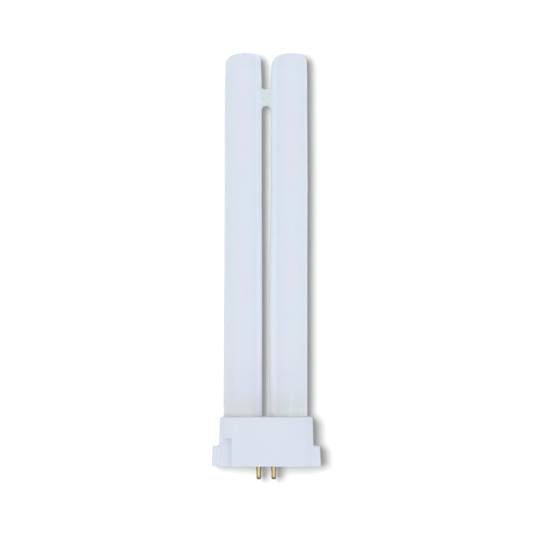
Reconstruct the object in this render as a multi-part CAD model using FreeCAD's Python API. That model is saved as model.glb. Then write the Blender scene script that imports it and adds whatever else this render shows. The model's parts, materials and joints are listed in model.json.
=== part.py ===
import FreeCAD, Part
import math
import os

from FreeCAD import Vector

# Four pin compact fluorescent lamp with two straight tubes joined by a bridge.
# Millimetres. +X is to the right, +Y runs from the pins to the domed ends and +Z is the lamp's front.
# The lamp lies level on its back, with the origin on the surface under the middle of its box.

# Glass
tube_diameter = 19.5
tube_gap = 4.7
tube_exposed_length = 192.0
tube_seat_length = 9.0
tube_foot_radius = 3.0
drawn_end_diameter = 19.1
dome_crown_radius = 22.0
dome_corner_radius = 5.5
bridge_diameter = 9.0
bridge_below_top = 23.5
bridge_fillet = 2.0
bridge_fillet_limit = 0.45  # as a share of the gap between the tubes

# Base housing
base_height = 26.0
base_draft_deg = 1.6
base_corner_radius = 8.3
base_top_fillet = 1.5
base_foot_fillet = 0.8
base_wall = 1.8
socket_depth = 6.0
socket_lip = 1.5
socket_front_wall = 2.65
socket_side_wall = 2.0
socket_clearance = 0.15
cement_gap = 0.6

# Ears that the lamp holder's springs grip
ear_reach = 3.4
ear_height = 10.6
ear_depth = 12.5
ear_draft_deg = 3.0
ear_corner_radius = 1.0
ear_top_fillet_share = 0.8  # of the corner radius

# Keyway, a step cut from the front left corner of the base
keyway_width = 6.25
keyway_height = 14.8
keyway_depth = 4.4
keyway_floor_radius = 0.4

# Plate that closes the base and carries the pins
plate_thickness = 3.0
plate_ledge = 0.8
plate_clearance = 0.1

# Contact pins
pin_diameter = 2.35
pin_length = 7.0
pin_spacing_x = 7.92
pin_spacing_z = 6.35
pin_tip_radius = 0.8
pin_root_diameter = 2.7
pin_root_length = 2.2
pin_collar_diameter = 3.6
pin_collar_thickness = 0.8
pin_inner_length = 2.5

# Lead wires from the tube ends to the pins
lead_diameter = 0.6
lead_straight = 1.6
lead_bend_radius = 1.5

# How far a cutting shape runs past the face that it opens
cut_over = 1.0

# How edges are picked for rounding
same_place = 0.01
same_size = 0.1
lengthwise_ratio = 4

# Places that follow from the sizes above
tube_radius = tube_diameter / 2
tube_spacing = tube_diameter + tube_gap
bore_radius = tube_radius + cement_gap
base_depth = 2 * (bore_radius + socket_front_wall)
base_top_width = tube_spacing + 2 * (bore_radius + socket_side_wall)
overall_length = pin_length + base_height + tube_exposed_length
pin_tip_y = -overall_length / 2
base_foot_y = pin_tip_y + pin_length
base_top_y = base_foot_y + base_height
glass_top_y = base_top_y + tube_exposed_length
tube_foot_y = base_top_y - tube_seat_length
socket_floor_y = base_top_y - socket_depth
plate_top_y = base_foot_y + plate_thickness
bridge_y = glass_top_y - bridge_below_top
axis_z = base_depth / 2
sides = {"left": -1, "right": 1}
rows = {"front": 1, "rear": -1}


def half_width(y, draft_deg, width_at_y0, y0):
    """Half the width at height y of a side that leans out by draft_deg towards the foot."""
    return width_at_y0 / 2 + (y0 - y) * math.tan(math.radians(draft_deg))


def lengthwise_edges(shape):
    """The straight edges that run along the lamp, give or take the draft."""
    found = []
    for edge in shape.Edges:
        box = edge.BoundBox
        if box.YLength > lengthwise_ratio * max(box.XLength, box.ZLength, same_place):
            found.append(edge)
    return found


def edges_at_height(shape, y):
    """The edges that lie wholly in the plane at height y."""
    return [edge for edge in shape.Edges
            if abs(edge.BoundBox.YMin - y) < same_place and abs(edge.BoundBox.YMax - y) < same_place]


def tapered_block(foot_y, top_y, foot_half, top_half, depth, corner_radius):
    """A block centred on the lamp, wider at its foot, with its four lengthwise edges rounded."""
    corners = [
        Vector(-foot_half, foot_y, axis_z - depth / 2),
        Vector(foot_half, foot_y, axis_z - depth / 2),
        Vector(top_half, top_y, axis_z - depth / 2),
        Vector(-top_half, top_y, axis_z - depth / 2),
    ]
    outline = Part.makePolygon(corners + corners[:1])
    block = Part.Face(outline).extrude(Vector(0, 0, depth))
    return block.makeFillet(corner_radius, lengthwise_edges(block))


def box_between(x0, x1, y0, y1, z0, z1):
    return Part.makeBox(x1 - x0, y1 - y0, z1 - z0, Vector(x0, y0, z0))


def rod(x, z, y0, y1, radius):
    """A round rod along the lamp from y0 to y1."""
    return Part.makeCylinder(radius, y1 - y0, Vector(x, y0, z), Vector(0, 1, 0))


def tube(side):
    """One tube: a straight wall with a rounded foot, drawn in a little above the bridge, and a domed end."""
    end_radius = drawn_end_diameter / 2
    crown_centre_y = glass_top_y - dome_crown_radius
    reach = dome_crown_radius - dome_corner_radius
    corner_x = end_radius - dome_corner_radius
    corner_y = crown_centre_y + math.sqrt(reach ** 2 - corner_x ** 2)
    crown_share = dome_crown_radius / reach
    crown_end = Vector(corner_x * crown_share, crown_centre_y + (corner_y - crown_centre_y) * crown_share, 0)
    crown_angle = math.asin(corner_x / reach)
    crown_middle = Vector(dome_crown_radius * math.sin(crown_angle / 2),
                          crown_centre_y + dome_crown_radius * math.cos(crown_angle / 2), 0)
    corner_angle = (math.pi / 2 + crown_angle) / 2
    corner_middle = Vector(corner_x + dome_corner_radius * math.sin(corner_angle),
                           corner_y + dome_corner_radius * math.cos(corner_angle), 0)
    foot_middle = Vector(tube_radius - tube_foot_radius * (1 - math.sqrt(0.5)),
                         tube_foot_y + tube_foot_radius * (1 - math.sqrt(0.5)), 0)
    foot_inner = Vector(tube_radius - tube_foot_radius, tube_foot_y, 0)
    foot_outer = Vector(tube_radius, tube_foot_y + tube_foot_radius, 0)
    wall_top = Vector(tube_radius, bridge_y + bridge_diameter, 0)
    corner_start = Vector(end_radius, corner_y, 0)
    top = Vector(0, glass_top_y, 0)
    foot_centre = Vector(0, tube_foot_y, 0)
    profile = Part.Wire([
        Part.LineSegment(foot_centre, foot_inner).toShape(),
        Part.Arc(foot_inner, foot_middle, foot_outer).toShape(),
        Part.LineSegment(foot_outer, wall_top).toShape(),
        Part.LineSegment(wall_top, corner_start).toShape(),
        Part.Arc(corner_start, corner_middle, crown_end).toShape(),
        Part.Arc(crown_end, crown_middle, top).toShape(),
        Part.LineSegment(top, foot_centre).toShape(),
    ])
    turned = Part.Face(profile).revolve(Vector(0, 0, 0), Vector(0, 1, 0), 360)
    if side < 0:
        turned.rotate(Vector(0, 0, 0), Vector(0, 1, 0), 180)
    turned.translate(Vector(side * tube_spacing / 2, 0, axis_z))
    return turned


def glass_tube():
    """The sealed glass: both tubes and the bridge blown between them, as one piece."""
    bridge_radius = bridge_diameter / 2
    bridge = Part.makeCylinder(bridge_radius, tube_spacing, Vector(-tube_spacing / 2, bridge_y, axis_z),
                               Vector(1, 0, 0))
    glass = tube(-1).fuse(tube(1)).fuse(bridge).removeSplitter()
    rims = []
    for edge in glass.Edges:
        box = edge.BoundBox
        as_long = abs(box.YLength - bridge_diameter) < same_size
        as_deep = abs(box.ZLength - bridge_diameter) < same_size
        if as_long and as_deep and abs(box.Center.y - bridge_y) < same_size:
            rims.append(edge)
    return glass.makeFillet(min(bridge_fillet, bridge_fillet_limit * tube_gap), rims)


def keyway_box(margin, foot_y):
    """The keyway's space grown by a margin to its side, its top and its floor, open at the foot, front and left."""
    left = -half_width(base_foot_y, base_draft_deg, base_top_width, base_top_y) - cut_over
    return box_between(left, keyway_width - base_top_width / 2 + margin,
                       foot_y, base_foot_y + keyway_height + margin,
                       base_depth - keyway_depth - margin, base_depth + cut_over)


def inside_of_base(wall, y0, y1):
    """The hollow of the base inside a wall of the given thickness, which also goes round the keyway."""
    half = base_top_width / 2 - wall
    hollow = box_between(-half, half, y0, y1, wall, base_depth - wall)
    hollow = hollow.makeFillet(base_corner_radius - wall, lengthwise_edges(hollow))
    return hollow.cut(keyway_box(wall, base_foot_y))


def base_housing():
    """The moulded base: block, ears, keyway, two tube sockets in its top and a hollow open at its foot."""
    foot_half = half_width(base_foot_y, base_draft_deg, base_top_width, base_top_y)
    block = tapered_block(base_foot_y, base_top_y, foot_half, base_top_width / 2, base_depth,
                          base_corner_radius)
    block = block.makeFillet(base_top_fillet, edges_at_height(block, base_top_y))
    ear_top_y = base_foot_y + ear_height
    ear_top_half = half_width(ear_top_y, base_draft_deg, base_top_width, base_top_y) + ear_reach
    ear_foot_half = half_width(base_foot_y, ear_draft_deg, 2 * ear_top_half, ear_top_y)
    ears = tapered_block(base_foot_y, ear_top_y, ear_foot_half, ear_top_half, ear_depth, ear_corner_radius)
    ears = ears.makeFillet(ear_corner_radius * ear_top_fillet_share, edges_at_height(ears, ear_top_y))
    body = block.fuse(ears).removeSplitter()
    body = body.makeFillet(base_foot_fillet, edges_at_height(body, base_foot_y))

    keyway = keyway_box(0, base_foot_y - cut_over)
    floor_edges = [edge for edge in lengthwise_edges(keyway)
                   if edge.BoundBox.ZMax < base_depth and edge.BoundBox.XMax > -base_top_width / 2]
    body = body.cut(keyway.makeFillet(keyway_floor_radius, floor_edges))
    body = body.cut(inside_of_base(base_wall, plate_top_y, socket_floor_y))
    body = body.cut(inside_of_base(base_wall - plate_ledge, base_foot_y, plate_top_y))
    for side in sides.values():
        x = side * tube_spacing / 2
        body = body.cut(rod(x, axis_z, socket_floor_y, base_top_y - socket_lip, bore_radius))
        body = body.cut(rod(x, axis_z, base_top_y - socket_lip, base_top_y, tube_radius + socket_clearance))
    return body


def pin_place(side, row):
    return side * pin_spacing_x / 2, axis_z + row * pin_spacing_z / 2


def pin_plate():
    """The plate let into the foot of the base, flush with it, with a hole for each pin."""
    plate = inside_of_base(base_wall - plate_ledge + plate_clearance, base_foot_y, plate_top_y)
    for side in sides.values():
        for row in rows.values():
            x, z = pin_place(side, row)
            plate = plate.cut(rod(x, z, base_foot_y, plate_top_y, pin_diameter / 2))
    return plate


def contact_pin(side, row):
    """A brass pin with a rounded tip, a swaged root under the plate and a collar on top of it."""
    x, z = pin_place(side, row)
    inner_end_y = plate_top_y + pin_inner_length
    shank = rod(x, z, pin_tip_y, inner_end_y, pin_diameter / 2)
    shank = shank.makeFillet(pin_tip_radius, edges_at_height(shank, pin_tip_y))
    root = rod(x, z, base_foot_y - pin_root_length, base_foot_y, pin_root_diameter / 2)
    collar = rod(x, z, plate_top_y, plate_top_y + pin_collar_thickness, pin_collar_diameter / 2)
    return shank.fuse(root).fuse(collar).removeSplitter()


def lead_wire(side, row):
    """A wire from the foot of a tube to the inner end of its pin, with two bends in one plane."""
    pin_x, z = pin_place(side, row)
    start = Vector(side * tube_spacing / 2, tube_foot_y, z)
    end = Vector(pin_x, plate_top_y + pin_inner_length, z)
    upper = start - Vector(0, lead_straight, 0)
    lower = end + Vector(0, lead_straight, 0)
    points = [start, upper, lower, end]
    edges = []
    last = start
    for before, corner, after in zip(points, points[1:], points[2:]):
        to_before = (before - corner).normalize()
        to_after = (after - corner).normalize()
        half_angle = to_before.getAngle(to_after) / 2
        tangent = lead_bend_radius / math.tan(half_angle)
        inward = (to_before + to_after).normalize()
        middle = corner + inward * (lead_bend_radius / math.sin(half_angle) - lead_bend_radius)
        arc_start = corner + to_before * tangent
        arc_end = corner + to_after * tangent
        edges.append(Part.LineSegment(last, arc_start).toShape())
        edges.append(Part.Arc(arc_start, middle, arc_end).toShape())
        last = arc_end
    edges.append(Part.LineSegment(last, end).toShape())
    section = Part.Wire([Part.makeCircle(lead_diameter / 2, start, Vector(0, 1, 0))])
    return Part.Wire(edges).makePipeShell([section], True, True)


def tube_cement(side):
    """The ring of cement that holds a tube in its socket."""
    x = side * tube_spacing / 2
    ring = rod(x, axis_z, socket_floor_y, base_top_y - socket_lip, bore_radius)
    return ring.cut(rod(x, axis_z, socket_floor_y, base_top_y - socket_lip, tube_radius))


def all_parts():
    """Every piece of the lamp by its node name."""
    parts = {"glass_tube": glass_tube(), "base_housing": base_housing(), "pin_plate": pin_plate()}
    for side_name, side in sides.items():
        parts["tube_cement_" + side_name] = tube_cement(side)
        for row_name, row in rows.items():
            place = row_name + "_" + side_name
            parts["contact_pin_" + place] = contact_pin(side, row)
            parts["lead_wire_" + place] = lead_wire(side, row)
    return parts


def export():
    os.makedirs("parts", exist_ok=True)
    for name, shape in all_parts().items():
        shape.exportStep("parts/" + name + ".step")
        print(name, "valid", shape.isValid(), "solids", len(shape.Solids), "mm3", round(shape.Volume, 2))


export()
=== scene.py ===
import json
import math

import bpy
import numpy as np
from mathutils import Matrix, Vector


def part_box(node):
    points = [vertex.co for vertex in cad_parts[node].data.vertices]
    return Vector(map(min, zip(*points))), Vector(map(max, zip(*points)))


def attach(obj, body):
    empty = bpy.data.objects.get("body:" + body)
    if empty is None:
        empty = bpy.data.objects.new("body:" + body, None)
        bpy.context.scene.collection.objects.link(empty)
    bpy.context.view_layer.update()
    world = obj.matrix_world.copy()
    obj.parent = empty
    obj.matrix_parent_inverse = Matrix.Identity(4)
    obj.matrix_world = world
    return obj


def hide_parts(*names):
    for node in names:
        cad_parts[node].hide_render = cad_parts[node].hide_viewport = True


# Four pin compact fluorescent lamp lying on its back on a white floor, seen from straight above.
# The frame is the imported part's: metres, +X right, +Y from the pins to the domed ends, +Z the lamp's front.
# Sizes below are in millimetres unless a name or a remark says otherwise.

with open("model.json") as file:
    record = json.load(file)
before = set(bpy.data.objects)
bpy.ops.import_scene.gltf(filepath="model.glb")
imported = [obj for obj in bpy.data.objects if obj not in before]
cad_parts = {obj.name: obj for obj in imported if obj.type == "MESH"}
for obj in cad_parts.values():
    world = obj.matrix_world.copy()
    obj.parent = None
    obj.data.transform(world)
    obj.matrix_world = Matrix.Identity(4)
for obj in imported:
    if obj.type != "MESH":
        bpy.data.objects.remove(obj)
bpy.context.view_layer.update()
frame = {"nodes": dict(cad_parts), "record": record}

MM = 0.001


def to_mm(metres):
    """A place of the frame in millimetres, to a hundredth, which is as exact as its meshes are."""
    return round(metres / MM, 2)


def corners(node):
    """A node's lowest and highest corner."""
    low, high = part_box(node)
    return [to_mm(value) for value in low], [to_mm(value) for value in high]


# Places and sizes that the frame gives
glass_low, glass_high = corners("glass_tube")
cement_low, cement_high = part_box("tube_cement_right")
mounts = {mount["name"]: mount for mount in frame["record"]["mounts"]}
pins = mounts["contact_pins"]
keyway_low, keyway_high = frame["record"]["physics"]["openings"][0]["box_m"]
KEYWAY_CLEAR = 0.05  # between the keyway's stated box and its walls

TUBE_X = to_mm((cement_low[0] + cement_high[0]) / 2)
TUBE_RADIUS = round(glass_high[0] - TUBE_X, 2)
AXIS_Z = to_mm(pins["pos_m"][2])
GLASS_TOP_Y = glass_high[1]
TUBE_FOOT_Y = glass_low[1]
BASE_TOP_Y = corners("base_housing")[1][1]
PIN_TIP_Y = corners("contact_pin_front_left")[0][1]
PIN_X = pins["dims"]["spacing_x_mm"] / 2
PIN_RADIUS = pins["dims"]["stud_r_mm"]
EAR_TOP_Y = to_mm(mounts["left_ear_shoulder"]["pos_m"][1])
KEYWAY_X = to_mm(keyway_high[0]) + KEYWAY_CLEAR
KEYWAY_TOP_Y = to_mm(keyway_high[1]) + KEYWAY_CLEAR
KEYWAY_FLOOR_Z = to_mm(keyway_low[2]) - KEYWAY_CLEAR

# Glass: the tubes' feet, the drawn ends and the domes
FOOT_RADIUS = 3.0
DRAWN_RADIUS = 9.42
DRAWN_SHIFT = 0.15  # outwards, away from the other tube
CROWN_RADIUS = 22.0
DOME_CORNER_RADIUS = 5.2
DOME_CORNER_SKEW = 0.6  # rounder by this on the picture's left, and sharper on its right
DOME_LEAN = 0.05  # rise for each millimetre towards the picture's right
DOME_DROP = 0.03
LEAN_BELOW = 8.0  # where the lean starts, below the end of the wall
LEAN_LENGTH = 12.0

# Glass: the bridge, with a fillet that is wider below it than above it
BRIDGE_BELOW_TOP = 23.5
BRIDGE_Y = GLASS_TOP_Y - BRIDGE_BELOW_TOP
BRIDGE_RADIUS = 4.5
FILLET_TOP = 0.45
FILLET_BOTTOM = 2.35
NEAR_BRIDGE = 1.2  # the mesh leaves the tube's wall this far outside the bridge's radius

# Glass: uneven spots of tubes worked by hand
STRAIGHT_Y = 45.0  # the height at which both tubes are straight
LEFT_FULL = 0.15
FULL_LENGTH = 12.0
LEFT_SWELL = 0.55
LEFT_INNER_SWELL = 0.18
RIGHT_INNER_SWELL = 0.7
INNER_SWELL_LENGTH = 60.0
RIGHT_WAIST = 0.2
RIGHT_LOW_WAIST = 0.13
LOW_WAIST_LENGTH = 50.0
ROUND_AGAIN_DEPTH = 0.5  # below the base's top, where the swellings start to end inside the sockets
ROUND_AGAIN_LENGTH = 3.0

# Glass: how fine its mesh is
COLUMNS = 96
FOOT_STEPS = 8
STRAIGHT_STEPS = 66
TAPER_STEPS = 5
CORNER_STEPS = 18
CROWN_STEPS = 12

# Glass: the patch of each tube's mesh that the bridge grows out of, in columns to each side and rows
PATCH_COLUMNS = 16
PATCH_ROWS = 24
PATCH_HALF_LENGTH = 9.0
PATCH_START_Y = BRIDGE_Y - PATCH_HALF_LENGTH
PATCH_END_Y = BRIDGE_Y + PATCH_HALF_LENGTH
FIRST_PATCH_ROW = FOOT_STEPS + STRAIGHT_STEPS
RINGS = 26
RINGS_ON_TUBE = 10
SLOPE_STEP = 1e-4
FITTING_ROUNDS = 12
TINY = 1e-6

# Picture
PHOTO_SIDE_PX = 533
MM_PER_PX = 0.528
CENTRE_X_PX = 266.2
CENTRE_Y_PX = 266.1
LENS = 400.0
SENSOR = 36.0


# The glass, as one closed mesh

def smoothstep(t):
    t = np.clip(t, 0.0, 1.0)
    return t * t * (3 - 2 * t)


def dome_profile(corner_radius):
    """Points (distance from the axis, y) over a dome, from the end of the wall to near the crown's middle."""
    crown_y = GLASS_TOP_Y - CROWN_RADIUS
    reach = CROWN_RADIUS - corner_radius
    corner_x = DRAWN_RADIUS - corner_radius
    corner_y = crown_y + math.sqrt(reach ** 2 - corner_x ** 2)
    crown_angle = math.asin(corner_x / reach)
    points = []
    for i in range(CORNER_STEPS + 1):
        a = math.pi / 2 + (crown_angle - math.pi / 2) * i / CORNER_STEPS
        points.append((corner_x + corner_radius * math.sin(a), corner_y + corner_radius * math.cos(a)))
    for i in range(1, CROWN_STEPS):
        a = crown_angle * (1 - i / CROWN_STEPS)
        points.append((CROWN_RADIUS * math.sin(a), crown_y + CROWN_RADIUS * math.cos(a)))
    return points


def wall_profile():
    """Points (distance from the axis, y) up the foot and the wall, to the end of the bridge's patch."""
    points = []
    for i in range(FOOT_STEPS + 1):
        a = math.pi / 2 * i / FOOT_STEPS
        points.append((TUBE_RADIUS - FOOT_RADIUS + FOOT_RADIUS * math.sin(a),
                       TUBE_FOOT_Y + FOOT_RADIUS - FOOT_RADIUS * math.cos(a)))
    foot_end = TUBE_FOOT_Y + FOOT_RADIUS
    for i in range(1, STRAIGHT_STEPS):
        points.append((TUBE_RADIUS, foot_end + (PATCH_START_Y - foot_end) * i / STRAIGHT_STEPS))
    for i in range(PATCH_ROWS + 1):
        points.append((TUBE_RADIUS, PATCH_START_Y + 2 * PATCH_HALF_LENGTH * i / PATCH_ROWS))
    return points


def turned_tube(side):
    """One tube about its own axis, with +x towards the other tube.

    It gives the points, row by row and then the tip and the foot's middle, and the number of rows. The left
    tube's side is -1. As cos(a) is towards the other tube, -side * cos(a) is towards the picture's right.
    """
    angles = [2 * math.pi * column / COLUMNS for column in range(COLUMNS)]
    rows = [[place] * COLUMNS for place in wall_profile()]
    domes = [dome_profile(DOME_CORNER_RADIUS - DOME_CORNER_SKEW * -side * math.cos(a)) for a in angles]
    for i in range(1, TAPER_STEPS):
        share = i / TAPER_STEPS
        radius = TUBE_RADIUS + (DRAWN_RADIUS - TUBE_RADIUS) * share
        rows.append([(radius, PATCH_END_Y + (dome[0][1] - PATCH_END_Y) * share) for dome in domes])
    for i in range(len(domes[0])):
        rows.append([dome[i] for dome in domes])
    points = []
    for row in rows:
        points += [(radius * math.cos(a), y, radius * math.sin(a)) for (radius, y), a in zip(row, angles)]
    co = np.array(points + [(0, GLASS_TOP_Y, 0), (0, TUBE_FOOT_Y, 0)])
    wall_end = max(dome[0][1] for dome in domes)
    lean = smoothstep((co[:, 1] - (wall_end - LEAN_BELOW)) / LEAN_LENGTH)
    co[:, 1] += (DOME_LEAN * -side * co[:, 0] - DOME_DROP) * lean
    co[:, 0] -= DRAWN_SHIFT * smoothstep((co[:, 1] - PATCH_END_Y) / (wall_end - PATCH_END_Y))
    return co, len(rows)


def vertex(row, column):
    return row * COLUMNS + column % COLUMNS


def tube_faces(row_count):
    """The tube's faces, closed by fans at the tip and the foot and open where the bridge's patch is."""
    tip = row_count * COLUMNS
    foot = tip + 1
    faces = []
    for r in range(row_count - 1):
        in_patch_row = FIRST_PATCH_ROW <= r < FIRST_PATCH_ROW + PATCH_ROWS
        for c in range(-COLUMNS // 2, COLUMNS // 2):
            if in_patch_row and -PATCH_COLUMNS <= c < PATCH_COLUMNS:
                continue
            faces.append((vertex(r, c), vertex(r, c + 1), vertex(r + 1, c + 1), vertex(r + 1, c)))
    for c in range(COLUMNS):
        faces.append((vertex(row_count - 1, c), vertex(row_count - 1, c + 1), tip))
        faces.append((foot, vertex(0, c + 1), vertex(0, c)))
    return faces


def patch_loop():
    """The points round the patch's outline, once round."""
    last_row = FIRST_PATCH_ROW + PATCH_ROWS
    loop = [vertex(FIRST_PATCH_ROW, c) for c in range(-PATCH_COLUMNS, PATCH_COLUMNS + 1)]
    loop += [vertex(r, PATCH_COLUMNS) for r in range(FIRST_PATCH_ROW + 1, last_row + 1)]
    loop += [vertex(last_row, c) for c in range(PATCH_COLUMNS - 1, -PATCH_COLUMNS - 1, -1)]
    loop += [vertex(r, -PATCH_COLUMNS) for r in range(last_row - 1, FIRST_PATCH_ROW, -1)]
    return loop


def glass_distance(p):
    """Signed distance to a tube with its half of the bridge and a fillet that widens towards the foot."""
    to_tube = np.hypot(p[:, 0], p[:, 2]) - TUBE_RADIUS
    along = p[:, 1] - BRIDGE_Y
    from_neck = np.hypot(along, p[:, 2])
    to_neck = from_neck - BRIDGE_RADIUS
    upward = along / np.maximum(from_neck, TINY)
    fillet = (FILLET_TOP + FILLET_BOTTOM) / 2 + (FILLET_TOP - FILLET_BOTTOM) / 2 * upward
    inside_tube = np.maximum(fillet - to_tube, 0)
    inside_neck = np.maximum(fillet - to_neck, 0)
    return np.maximum(fillet, np.minimum(to_tube, to_neck)) - np.hypot(inside_tube, inside_neck)


def onto_glass(p, hold_x):
    """Points moved along the distance's slope until they lie on the glass, with x held as it is if asked."""
    for _ in range(FITTING_ROUNDS):
        d = glass_distance(p)
        slope = np.zeros_like(p)
        for k in range(3):
            q = p.copy()
            q[:, k] += SLOPE_STEP
            slope[:, k] = (glass_distance(q) - d) / SLOPE_STEP
        if hold_x:
            slope[:, 0] = 0
        slope /= np.maximum(np.linalg.norm(slope, axis=1, keepdims=True), TINY)
        p = p - slope * d[:, None]
    return p


def with_half_bridge(co, faces):
    """The tube with rings of points from its patch's outline to the bridge's middle, where it is open."""
    ring_ids = patch_loop()
    count = len(ring_ids)
    edge = co[ring_ids]
    along = edge[:, 1] - BRIDGE_Y
    reach = np.hypot(along, edge[:, 2])
    turn = np.arctan2(along, edge[:, 2])
    near = BRIDGE_RADIUS + NEAR_BRIDGE
    for ring in range(1, RINGS + 1):
        if ring <= RINGS_ON_TUBE:
            radius = reach + (near - reach) * ring / RINGS_ON_TUBE
            x = np.sqrt(TUBE_RADIUS ** 2 - (radius * np.cos(turn)) ** 2)
        else:
            share = (ring - RINGS_ON_TUBE) / (RINGS - RINGS_ON_TUBE)
            radius = near + (BRIDGE_RADIUS - near) * share
            start_x = np.sqrt(TUBE_RADIUS ** 2 - (near * np.cos(turn)) ** 2)
            x = start_x + (TUBE_X - start_x) * share
        points = np.column_stack([x, BRIDGE_Y + radius * np.sin(turn), radius * np.cos(turn)])
        last_ids, ring_ids = ring_ids, list(range(len(co), len(co) + count))
        co = np.vstack([co, onto_glass(points, hold_x=ring == RINGS)])
        for i in range(count):
            j = (i + 1) % count
            faces.append((last_ids[i], last_ids[j], ring_ids[j], ring_ids[i]))
    return co, faces, ring_ids


def worked_by_hand(co, side):
    """Adds the uneven spots. Both tubes swell towards the base, and the swells end inside the sockets.

    The left tube is also a little fuller on its outer side. The right one draws in there, above and below the
    height at which it is straight.
    """
    outer = np.clip(-co[:, 0] / TUBE_RADIUS, 0, 1)
    inner = np.clip(co[:, 0] / TUBE_RADIUS, 0, 1)
    above = co[:, 1] - STRAIGHT_Y
    in_socket = smoothstep((BASE_TOP_Y - ROUND_AGAIN_DEPTH - co[:, 1]) / ROUND_AGAIN_LENGTH)
    inner_swell = LEFT_INNER_SWELL if side < 0 else RIGHT_INNER_SWELL
    co[:, 0] += inner_swell * smoothstep(-above / INNER_SWELL_LENGTH) * (1 - in_socket) * inner
    if side < 0:
        full = LEFT_FULL * smoothstep((PATCH_END_Y - co[:, 1]) / FULL_LENGTH)
        swell = LEFT_SWELL * smoothstep(-above / (STRAIGHT_Y - BASE_TOP_Y))
        co[:, 0] -= (full + swell) * (1 - in_socket) * outer
    else:
        waist = RIGHT_WAIST * smoothstep(above / (BRIDGE_Y - STRAIGHT_Y))
        low_waist = RIGHT_LOW_WAIST * smoothstep(-above / LOW_WAIST_LENGTH)
        co[:, 0] += (waist + low_waist) * outer


def half_glass(side):
    """One tube with its half of the bridge, in its place: points, faces and the ring where it is open."""
    co, row_count = turned_tube(side)
    co, faces, open_ring = with_half_bridge(co, tube_faces(row_count))
    worked_by_hand(co, side)
    co[:, 0] = side * TUBE_X - side * co[:, 0]
    co[:, 2] += AXIS_Z
    return co, faces, open_ring


def glass_mesh():
    """Both tubes and the bridge as one closed mesh, welded in the middle of the bridge."""
    left, left_faces, left_ring = half_glass(-1)
    right, right_faces, right_ring = half_glass(1)
    offset = len(left)
    weld = {offset + in_right: in_left for in_left, in_right in zip(left_ring, right_ring)}
    keep = [i for i in range(len(right)) if offset + i not in weld]
    new_index = {offset + i: offset + n for n, i in enumerate(keep)}
    new_index.update(weld)
    points = np.vstack([left, right[keep]])
    # The right half was mirrored into its place, so only the left half's faces have to be turned outwards.
    faces = [tuple(reversed(face)) for face in left_faces]
    for face in right_faces:
        faces.append(tuple(new_index[offset + i] for i in face))
    return points, faces


def add_mesh(name, points, faces):
    """A smooth shaded object of points in millimetres."""
    mesh = bpy.data.meshes.new(name)
    mesh.from_pydata([tuple(p * MM) for p in points], [], faces)
    mesh.update()
    mesh.shade_smooth()
    obj = bpy.data.objects.new(name, mesh)
    bpy.context.scene.collection.objects.link(obj)
    return obj


# Materials

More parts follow.
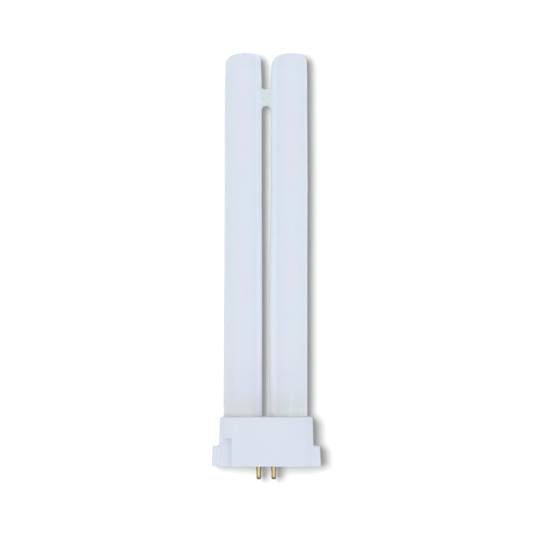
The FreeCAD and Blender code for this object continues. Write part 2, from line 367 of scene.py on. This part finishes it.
class Graph:
    """A material's node graph, with short ways to add nodes."""

    # Where a colour mix node has its two colours and its result
    MIX_A = 6
    MIX_B = 7
    MIX_RESULT = 2

    def __init__(self, name, settings):
        self.material = bpy.data.materials.new(name)
        self.material.use_nodes = True
        self.tree = self.material.node_tree
        self.tree.nodes.clear()
        self.out = self.tree.nodes.new("ShaderNodeOutputMaterial")
        self.shader = self.tree.nodes.new("ShaderNodeBsdfPrincipled")
        self.tree.links.new(self.shader.outputs["BSDF"], self.out.inputs["Surface"])
        self.where = self.tree.nodes.new("ShaderNodeTexCoord").outputs["Object"]
        for socket, value in settings.items():
            self.shader.inputs[socket].default_value = value

    def node(self, kind, **settings):
        node = self.tree.nodes.new(kind)
        for key, value in settings.items():
            setattr(node, key, value)
        return node

    def put(self, value, socket):
        """Links a socket, or sets a constant."""
        if isinstance(value, bpy.types.NodeSocket):
            self.tree.links.new(value, socket)
        else:
            socket.default_value = value

    def shade(self, value, name):
        """Links a value to one of the shader's sockets."""
        self.put(value, self.shader.inputs[name])

    def math(self, operation, a, b=0.0):
        node = self.node("ShaderNodeMath", operation=operation)
        self.put(a, node.inputs[0])
        self.put(b, node.inputs[1])
        return node.outputs[0]

    def times(self, first, *others):
        """The product of several shares."""
        for other in others:
            first = self.math("MULTIPLY", first, other)
        return first

    def either(self, a, b):
        return self.math("MAXIMUM", a, b)

    def away(self, value, middle_mm=0.0):
        """The distance from a place, in metres."""
        return self.math("ABSOLUTE", self.math("SUBTRACT", value, middle_mm * MM))

    def axes(self):
        """x, y and z of the shaded point in the part's frame, in metres."""
        split = self.node("ShaderNodeSeparateXYZ")
        self.put(self.where, split.inputs[0])
        return split.outputs[0], split.outputs[1], split.outputs[2]

    def noise(self, scale, detail, along=1.0, roughness=0.5):
        """Noise with scale cells a metre, drawn out lengthwise where along is under 1."""
        squeeze = self.node("ShaderNodeMapping")
        self.put(self.where, squeeze.inputs["Vector"])
        squeeze.inputs["Scale"].default_value = (1.0, along, 1.0)
        node = self.node("ShaderNodeTexNoise")
        self.put(squeeze.outputs[0], node.inputs["Vector"])
        node.inputs["Scale"].default_value = scale
        node.inputs["Detail"].default_value = detail
        node.inputs["Roughness"].default_value = roughness
        return node.outputs[0]

    def ramp(self, value, span, levels=(0.0, 1.0)):
        """A smooth change from one level to the other as the value goes along the span."""
        node = self.node("ShaderNodeMapRange", interpolation_type="SMOOTHSTEP")
        self.put(value, node.inputs["Value"])
        node.inputs["From Min"].default_value = span[0]
        node.inputs["From Max"].default_value = span[1]
        node.inputs["To Min"].default_value = levels[0]
        node.inputs["To Max"].default_value = levels[1]
        return node.outputs[0]

    def ramp_mm(self, value, span, levels=(0.0, 1.0)):
        """The same along a length, with the span in millimetres."""
        return self.ramp(value, (span[0] * MM, span[1] * MM), levels)

    def mix(self, share, a, b, blend="MIX"):
        node = self.node("ShaderNodeMix", data_type="RGBA", blend_type=blend)
        self.put(share, node.inputs[0])
        self.put(a, node.inputs[self.MIX_A])
        self.put(b, node.inputs[self.MIX_B])
        return node.outputs[self.MIX_RESULT]

    def tint(self, share, colour, tint):
        """The colour times a tint, as far as the share goes."""
        return self.mix(share, colour, tint, "MULTIPLY")

    def bump(self, height, strength, distance):
        node = self.node("ShaderNodeBump")
        self.put(height, node.inputs["Height"])
        node.inputs["Strength"].default_value = strength
        node.inputs["Distance"].default_value = distance
        return node


def rgb(r, g, b):
    return (r, g, b, 1.0)


def give(obj, material):
    obj.data.materials.clear()
    obj.data.materials.append(material)


# Coated glass: colours, and tints that multiply them
COAT_COOL = rgb(0.700, 0.768, 0.845)
COAT_WARM = rgb(0.724, 0.757, 0.832)
COAT_CLOUD_GREEN = rgb(0.665, 0.712, 0.715)
COAT_CLOUD_PINK = rgb(0.695, 0.708, 0.750)
COAT_STREAK = rgb(0.720, 0.755, 0.825)
COAT_BRIDGE = rgb(0.695, 0.775, 0.770)
COAT_BRIDGE_EDGE_PAINTED_LIGHT = rgb(0.78, 0.85, 0.84)
COAT_SMUDGE = rgb(0.30, 0.33, 0.33)
TINT_ABOVE_CLOUDS = rgb(0.967, 0.976, 0.986)
TINT_PAINTED_LIGHT_AT_BASE = rgb(1.16, 1.16, 1.16)
TINT_PAINTED_LIGHT_AT_SOCKET = rgb(1.14, 1.10, 1.03)
TINT_PAINTED_LIGHT_FACING = rgb(1.23, 1.18, 1.16)
TINT_DOME_PAINTED_SHADE = rgb(0.925, 0.946, 0.975)

# Coated glass: where a look starts and where it is full. The places are off a tube's axis, above the base's
# top, off the lamp's middle, below the glass's top or from the bridge's middle, as their names say.
STRIPE_OFF_AXIS = (6.2, 3.0)
STRIPE_ABOVE_BASE = (65.0, 25.0)
CLOUDS_ABOVE_BASE = (18.0, 0.0)
THIN_ABOVE_BASE = (36.0, 20.0)
THIN_ENDS_ABOVE_BASE = (4.0, 13.0)
PAINTED_LIGHT_ABOVE_BASE = (6.5, 0.5)
SOCKET_ABOVE_BASE = (1.6, 0.2)
FACING_OFF_MIDDLE = (6.7, 2.2)
DOME_BELOW_TOP = (12.0, 1.5)
BRIDGE_OFF_MIDDLE = (5.2, 1.2)
BRIDGE_OFF_BRIDGE = (8.8, 4.0)
LOW_EDGE_FROM_BRIDGE = (-0.5, -4.2)
HIGH_EDGE_FROM_BRIDGE = (2.0, 4.4)
SMUDGE_FROM_BRIDGE = -2.8
SMUDGE_LENGTH = (1.1, 0.3)
SMUDGE_OFF_MIDDLE = (0.8, 0.1)
SMUDGE_LEVELS = (0.0, 0.16)
RIPPLES_OUTER = (6.8, 5.0)
RIPPLES_INNER = (1.8, 3.0)
RIPPLES_OFF_BRIDGE = (9.0, 6.0)
RIPPLES_LEVELS = (0.0, 0.35)

# Coated glass: noises as cells a metre, detail and how far drawn out, and the span of each that counts
BREAKS = (60.0, 1.0, 0.3)
BREAKS_SPAN = (0.38, 0.48)
STREAKS = (420.0, 2.5, 0.035)
STREAKS_SPAN = (0.52, 0.75)
PATCHES = (150.0, 2.0, 0.25)
PATCHES_SPAN = (0.4, 0.6)
RIPPLES = (900.0, 2.0, 0.6)
RIPPLES_SPAN = (0.55, 0.72)
WEAR = (260.0, 3.0)
WEAR_SPAN = (0.4, 0.8)
WEAR_ROUGHNESS = (0.03, 0.09)
WAVES = (70.0, 1.5, 0.3)
WAVES_BUMP = (0.08, 0.5 * MM)

GLASS_SHADER = {
    "Roughness": 0.5,
    "Specular IOR Level": 0.2,
    "Subsurface Weight": 1.0,
    "Subsurface Radius": (1.0, 1.0, 1.0),
    "Subsurface Scale": 12.0 * MM,
    "Coat Weight": 0.3,
    "Coat IOR": 1.5,
}


def tube_coat(g, x, y):
    """The coat of the tubes: stripes, clouds and streaks, a thinner band above the clouds, and painted light
    and shade towards both ends.
    """
    off_middle = g.away(x)
    off_axis = g.away(off_middle, TUBE_X)
    from_base = g.math("SUBTRACT", y, BASE_TOP_Y * MM)
    # A warmer, broken stripe runs along the front and back of each tube. It widens at the base. The cooler
    # colour beside it, on the sides that turn away, is a painted reflection.
    stripe = g.times(g.ramp_mm(off_axis, STRIPE_OFF_AXIS), g.ramp(g.noise(*BREAKS), BREAKS_SPAN))
    stripe = g.either(stripe, g.ramp_mm(from_base, STRIPE_ABOVE_BASE))
    colour = g.mix(stripe, COAT_COOL, COAT_WARM)
    # The coat is clouded near the base, with streaks along the tubes.
    ends = g.mix(g.ramp(g.noise(*PATCHES), PATCHES_SPAN), COAT_CLOUD_GREEN, COAT_CLOUD_PINK)
    ends = g.mix(g.ramp(g.noise(*STREAKS), STREAKS_SPAN), ends, COAT_STREAK)
    colour = g.mix(g.ramp_mm(from_base, CLOUDS_ABOVE_BASE), colour, ends)
    # It is thinner above the clouded length. Painted shade dims the domes, which take more light than the
    # rest. Painted light lifts the glass right at the base, at the socket and on the sides that face each
    # other, against the shade that falls there.
    thin = g.times(g.ramp_mm(from_base, THIN_ABOVE_BASE), g.ramp_mm(from_base, THIN_ENDS_ABOVE_BASE))
    colour = g.tint(thin, colour, TINT_ABOVE_CLOUDS)
    colour = g.tint(g.ramp_mm(from_base, PAINTED_LIGHT_ABOVE_BASE), colour, TINT_PAINTED_LIGHT_AT_BASE)
    colour = g.tint(g.ramp_mm(from_base, SOCKET_ABOVE_BASE), colour, TINT_PAINTED_LIGHT_AT_SOCKET)
    colour = g.tint(g.ramp_mm(off_middle, FACING_OFF_MIDDLE), colour, TINT_PAINTED_LIGHT_FACING)
    domed = g.ramp_mm(y, [GLASS_TOP_Y - below for below in DOME_BELOW_TOP])
    return g.tint(domed, colour, TINT_DOME_PAINTED_SHADE)


def bridge_coat(g, x, y, colour):
    """The coat of the bridge, thin and greenish, over the tubes' coat."""
    off_middle = g.away(x)
    from_bridge = g.math("SUBTRACT", y, BRIDGE_Y * MM)
    off_bridge = g.away(from_bridge)
    bridge = g.times(g.ramp_mm(off_middle, BRIDGE_OFF_MIDDLE), g.ramp_mm(off_bridge, BRIDGE_OFF_BRIDGE))
    # Painted light lifts the bridge's upper and lower edges against the shade of its fillets.
    low_edge = g.ramp_mm(from_bridge, LOW_EDGE_FROM_BRIDGE)
    high_edge = g.ramp_mm(from_bridge, HIGH_EDGE_FROM_BRIDGE)
    colour = g.mix(bridge, colour, g.mix(g.either(low_edge, high_edge), COAT_BRIDGE, COAT_BRIDGE_EDGE_PAINTED_LIGHT))
    # It shows a smudge where it was sealed.
    low = g.ramp_mm(g.away(from_bridge, SMUDGE_FROM_BRIDGE), SMUDGE_LENGTH)
    smudge = g.times(low, g.ramp_mm(off_middle, SMUDGE_OFF_MIDDLE, SMUDGE_LEVELS))
    colour = g.mix(smudge, colour, COAT_SMUDGE)
    # Fusing left fine ripples on both sides of it.
    beside = g.times(g.ramp_mm(off_middle, RIPPLES_OUTER), g.ramp_mm(off_middle, RIPPLES_INNER),
                     g.ramp_mm(off_bridge, RIPPLES_OFF_BRIDGE))
    spots = g.times(beside, g.ramp(g.noise(*RIPPLES), RIPPLES_SPAN, RIPPLES_LEVELS))
    return g.mix(spots, colour, COAT_BRIDGE)


def coated_glass():
    """Glass over a white inner coat, with faint waves and a little wear in its gloss."""
    g = Graph("coated_glass", GLASS_SHADER)
    x, y, _ = g.axes()
    g.shade(bridge_coat(g, x, y, tube_coat(g, x, y)), "Base Color")
    g.shade(g.ramp(g.noise(*WEAR), WEAR_SPAN, WEAR_ROUGHNESS), "Coat Roughness")
    g.shade(g.bump(g.noise(*WAVES), *WAVES_BUMP).outputs[0], "Coat Normal")
    return g.material


# Base plastic: colours and tints
PLASTIC = rgb(0.722, 0.772, 0.874)
PLASTIC_FLOW = rgb(0.732, 0.778, 0.870)
TINT_PAINTED_LIGHT_EARS_KEYWAY = rgb(1.028, 1.027, 1.012)
TINT_CORNER_PAINTED_LIGHT = rgb(1.09, 1.09, 1.09)

# Base plastic: where the ears begin, where the keyway meets the rounded side, and how far each look reaches
EAR_ROOT_X = 25.15
EAR_EDGE = 0.2
EAR_CORNER_IN = 0.4
EAR_CORNER_REACH = (0.9, 0.4)
EAR_CORNER_ABOVE = 0.3
KEYWAY_RIM_X = -22.3
KEYWAY_RIM_REACH = 0.4
KEYWAY_RIM_LEVELS = (0.45, 1.0)
KEYWAY_EDGE = 0.1
KEYWAY_FLOOR_BELOW = (0.4, 0.1)
KEYWAY_CORNER_BELOW = (2.2, 0.4)

# Base plastic: noises and finish
FLOW = (60.0, 3.0, 0.35)
FLOW_SPAN = (0.35, 0.65)
GRAIN = (2600.0, 2.0, 1.0, 0.6)
GRAIN_SPAN = (0.3, 0.7)
GRAIN_ROUGHNESS = (0.40, 0.52)
GRAIN_BUMP = (0.06, 0.1 * MM)
EDGE_ROUNDING = 0.25
EDGE_SAMPLES = 6

PLASTIC_SHADER = {
    "Specular IOR Level": 0.4,
    "Subsurface Weight": 0.3,
    "Subsurface Radius": (1.0, 1.0, 1.0),
    "Subsurface Scale": 0.6 * MM,
}


def base_plastic():
    """Satin white plastic with a fine grain and faint flow marks, with painted light on the ears, in the
    keyway and in the inner corners.
    """
    g = Graph("base_plastic", PLASTIC_SHADER)
    x, y, z = g.axes()
    off_middle = g.away(x)
    colour = g.mix(g.ramp(g.noise(*FLOW), FLOW_SPAN), PLASTIC, PLASTIC_FLOW)
    # Painted light makes the ears and the keyway's floor a shade lighter, against the shade that falls on
    # them.
    ears = g.ramp_mm(off_middle, (EAR_ROOT_X - EAR_EDGE, EAR_ROOT_X))
    keyway = g.times(
        g.ramp_mm(x, (KEYWAY_X + KEYWAY_EDGE, KEYWAY_X)),
        g.ramp_mm(y, (KEYWAY_TOP_Y + KEYWAY_EDGE, KEYWAY_TOP_Y)),
        g.ramp_mm(z, [KEYWAY_FLOOR_Z - below for below in KEYWAY_FLOOR_BELOW]),
    )
    colour = g.tint(g.either(ears, keyway), colour, TINT_PAINTED_LIGHT_EARS_KEYWAY)
    # Painted light lifts the inner corners beside the ears and at the keyway's top, against the shade that
    # falls in them.
    beside_ear = g.times(
        g.ramp_mm(g.away(off_middle, EAR_ROOT_X - EAR_CORNER_IN), EAR_CORNER_REACH),
        g.ramp_mm(y, (EAR_TOP_Y + EAR_CORNER_ABOVE, EAR_TOP_Y)),
    )
    under_top = g.times(
        g.ramp_mm(x, (KEYWAY_RIM_X + KEYWAY_RIM_REACH, KEYWAY_RIM_X), KEYWAY_RIM_LEVELS),
        g.ramp_mm(y, [KEYWAY_TOP_Y - below for below in KEYWAY_CORNER_BELOW]),
        keyway,
    )
    colour = g.tint(g.either(beside_ear, under_top), colour, TINT_CORNER_PAINTED_LIGHT)
    g.shade(colour, "Base Color")
    grain = g.noise(*GRAIN)
    g.shade(g.ramp(grain, GRAIN_SPAN, GRAIN_ROUGHNESS), "Roughness")
    rounded = g.node("ShaderNodeBevel", samples=EDGE_SAMPLES)
    rounded.inputs["Radius"].default_value = EDGE_ROUNDING * MM
    bump = g.bump(grain, *GRAIN_BUMP)
    g.put(rounded.outputs[0], bump.inputs["Normal"])
    g.shade(bump.outputs[0], "Normal")
    return g.material


# Pin brass. The flanks are given as shares of a pin's radius, and the nose as millimetres from the tip.
BRASS = rgb(0.83, 0.71, 0.36)
BRASS_LINES = rgb(0.735, 0.605, 0.305)
BRASS_SPOTS = rgb(0.45, 0.36, 0.20)
BRASS_PAINTED_SHADE = rgb(0.15, 0.13, 0.07)
FLANK_SHARES = (0.12, 0.85)
FLANK_LEVELS = (0.0, 0.92)
NOSE_FROM_TIP = (1.9, 0.8)
NOSE_LEVELS = (0.0, 0.94)
DRAWN_LINES = (5200.0, 3.0, 0.04)
DRAWN_LINES_SPAN = (0.35, 0.65)
DRAWN_ROUGHNESS_SPAN = (0.3, 0.7)
DRAWN_ROUGHNESS = (0.22, 0.34)
DRAWN_BUMP = (0.12, 0.05 * MM)
SPOTS = (900.0, 4.0, 1.0, 0.6)
SPOTS_SPAN = (0.62, 0.75)
SPOTS_LEVELS = (0.0, 0.35)


def pin_brass():
    """Drawn brass with painted shade on the flanks and noses, so it is brightest along the front and back."""
    g = Graph("pin_brass", {"Metallic": 1.0})
    x, y, _ = g.axes()
    lines = g.noise(*DRAWN_LINES)
    colour = g.mix(g.ramp(lines, DRAWN_LINES_SPAN), BRASS, BRASS_LINES)
    # Painted shade stands in for the dark reflections on the pins' flanks and rounded noses.
    off_axis = g.away(g.away(x), PIN_X)
    flank = g.ramp_mm(off_axis, [share * PIN_RADIUS for share in FLANK_SHARES], FLANK_LEVELS)
    nose = g.ramp_mm(y, [PIN_TIP_Y + above for above in NOSE_FROM_TIP], NOSE_LEVELS)
    colour = g.mix(g.either(flank, nose), colour, BRASS_PAINTED_SHADE)
    colour = g.mix(g.ramp(g.noise(*SPOTS), SPOTS_SPAN, SPOTS_LEVELS), colour, BRASS_SPOTS)
    g.shade(colour, "Base Color")
    g.shade(g.ramp(lines, DRAWN_ROUGHNESS_SPAN, DRAWN_ROUGHNESS), "Roughness")
    g.shade(g.bump(lines, *DRAWN_BUMP).outputs[0], "Normal")
    return g.material


# Wire and cement
WIRE_DARK = rgb(0.52, 0.52, 0.50)
WIRE_LIGHT = rgb(0.68, 0.67, 0.64)
WIRE_LINES = (6000.0, 3.0, 0.1)
CEMENT_DARK = rgb(0.62, 0.58, 0.50)
CEMENT_LIGHT = rgb(0.80, 0.77, 0.70)
SAND = (1800.0, 4.0, 1.0, 0.65)
SAND_BUMP = (0.4, 0.3 * MM)


def lead_metal():
    """Plain drawn wire."""
    g = Graph("lead_metal", {"Metallic": 1.0, "Roughness": 0.35})
    g.shade(g.mix(g.noise(*WIRE_LINES), WIRE_DARK, WIRE_LIGHT), "Base Color")
    return g.material


def cement():
    """Matt cement with a sandy grain."""
    g = Graph("cement", {"Roughness": 0.9})
    sand = g.noise(*SAND)
    g.shade(g.mix(sand, CEMENT_DARK, CEMENT_LIGHT), "Base Color")
    g.shade(g.bump(sand, *SAND_BUMP).outputs[0], "Normal")
    return g.material


# Studio: strengths, and angles in degrees
WHITE = rgb(1.0, 1.0, 1.0)
AMBIENT = 0.95
BACKGROUND_SEEN = 1.0
FLOOR_HALF_M = 3.0
FLOOR_ALBEDO = 0.12
FLOOR_FIBRES = (700.0, 3.0)
FLOOR_FIBRE_SHARE = 0.015  # how much lighter or darker than the floor they are
FLOOR_GLOW = 0.228
FLOOR_BOUNCE = 0.65
FLOOR_SUN = 19.85
FLOOR_SUN_ELEVATION = 75.75
FLOOR_SUN_ANGLE = 21.0
FLOOR_SUN_FROM = (-0.95, 0.31)
KEY_SUN = 0.1
KEY_SUN_ELEVATION = 60.0
KEY_SUN_ANGLE = 50.0
KEY_SUN_FROM = (0.3, 1.0)


def seen_share(tree):
    """1 for what the camera sees straight or in metal and glass, 0 for light on its way to a surface."""
    path = tree.nodes.new("ShaderNodeLightPath")
    total = path.outputs["Is Camera Ray"]
    for kind in ("Is Glossy Ray", "Is Transmission Ray"):
        either = tree.nodes.new("ShaderNodeMath")
        either.operation = "MAXIMUM"
        tree.links.new(total, either.inputs[0])
        tree.links.new(path.outputs[kind], either.inputs[1])
        total = either.outputs[0]
    return total


def mix_by_sight(tree, unseen, seen, out):
    """Sends the seen shader to what sees the surface, and the unseen one to all other light."""
    pick = tree.nodes.new("ShaderNodeMixShader")
    tree.links.new(seen_share(tree), pick.inputs[0])
    tree.links.new(unseen, pick.inputs[1])
    tree.links.new(seen, pick.inputs[2])
    tree.links.new(pick.outputs[0], out.inputs["Surface"])


def floor_material():
    """White to the camera with a soft shadow, and an even pale bounce for everything else."""
    g = Graph("floor", {
        "Roughness": 1.0,
        "Specular IOR Level": 0.0,
        "Emission Color": WHITE,
        "Emission Strength": FLOOR_GLOW,
    })
    low, high = FLOOR_ALBEDO * (1 - FLOOR_FIBRE_SHARE), FLOOR_ALBEDO * (1 + FLOOR_FIBRE_SHARE)
    g.shade(g.mix(g.noise(*FLOOR_FIBRES), rgb(low, low, low), rgb(high, high, high)), "Base Color")
    bounce = g.node("ShaderNodeEmission")
    bounce.inputs["Strength"].default_value = FLOOR_BOUNCE
    mix_by_sight(g.tree, bounce.outputs[0], g.shader.outputs[0], g.out)
    return g.material


def add_floor():
    corner_signs = ((-1, -1), (1, -1), (1, 1), (-1, 1))
    points = [(x * FLOOR_HALF_M, y * FLOOR_HALF_M, 0) for x, y in corner_signs]
    mesh = bpy.data.meshes.new("floor")
    mesh.from_pydata(points, [], [(0, 1, 2, 3)])
    floor = bpy.data.objects.new("floor", mesh)
    bpy.context.scene.collection.objects.link(floor)
    give(floor, floor_material())
    return floor


def add_world():
    """Even light from all round, and plain white where the camera looks past the floor."""
    world = bpy.data.worlds.new("studio")
    bpy.context.scene.world = world
    world.use_nodes = True
    tree = world.node_tree
    tree.nodes.clear()
    out = tree.nodes.new("ShaderNodeOutputWorld")
    backgrounds = []
    for strength in (AMBIENT, BACKGROUND_SEEN):
        background = tree.nodes.new("ShaderNodeBackground")
        background.inputs["Color"].default_value = WHITE
        background.inputs["Strength"].default_value = strength
        backgrounds.append(background.outputs[0])
    light, seen = backgrounds
    mix_by_sight(tree, light, seen, out)


def add_sun(name, strength, elevation, angle, come_from):
    """A sun at that elevation over the side that come_from points to, as x and y."""
    light = bpy.data.lights.new(name, "SUN")
    light.energy = strength
    light.angle = math.radians(angle)
    sun = bpy.data.objects.new(name, light)
    flat = Vector((*come_from, 0)).normalized() * math.cos(math.radians(elevation))
    towards = Vector((flat.x, flat.y, math.sin(math.radians(elevation))))
    sun.rotation_mode = "QUATERNION"
    sun.rotation_quaternion = towards.to_track_quat("Z", "Y")
    bpy.context.scene.collection.objects.link(sun)
    return sun


def shine_only_on(sun, obj):
    """Keeps a sun's light off everything but one object, which still gets the shadows of the others."""
    receivers = bpy.data.collections.new(sun.name + "_receivers")
    receivers.objects.link(obj)
    sun.light_linking.receiver_collection = receivers


def add_camera():
    """A long lens straight above the lamp, framed as the photo is."""
    data = bpy.data.cameras.new("camera")
    data.lens = LENS
    data.sensor_width = SENSOR
    camera = bpy.data.objects.new("camera", data)
    distance = PHOTO_SIDE_PX * MM_PER_PX * LENS / SENSOR
    middle = PHOTO_SIDE_PX / 2
    place = ((middle - CENTRE_X_PX) * MM_PER_PX, (CENTRE_Y_PX - middle) * MM_PER_PX, AXIS_Z + distance)
    camera.location = Vector(place) * MM
    bpy.context.scene.collection.objects.link(camera)
    bpy.context.scene.camera = camera


# The whole picture

glass_look = coated_glass()
base_look = base_plastic()
brass_look = pin_brass()
lead_look = lead_metal()
cement_look = cement()

glass = add_mesh("glass_tube_dressed", *glass_mesh())
give(glass, glass_look)
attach(glass, "root")
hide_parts("glass_tube")

for name, node in frame["nodes"].items():
    if name in ("base_housing", "pin_plate"):
        give(node, base_look)
    elif name.startswith("contact_pin"):
        give(node, brass_look)
    elif name.startswith("lead_wire"):
        give(node, lead_look)
    elif name.startswith("tube_cement"):
        give(node, cement_look)

floor = add_floor()
add_world()
floor_sun = add_sun("floor_sun", FLOOR_SUN, FLOOR_SUN_ELEVATION, FLOOR_SUN_ANGLE, FLOOR_SUN_FROM)
shine_only_on(floor_sun, floor)
add_sun("key", KEY_SUN, KEY_SUN_ELEVATION, KEY_SUN_ANGLE, KEY_SUN_FROM)
add_camera()
bpy.context.scene.view_settings.view_transform = "Standard"
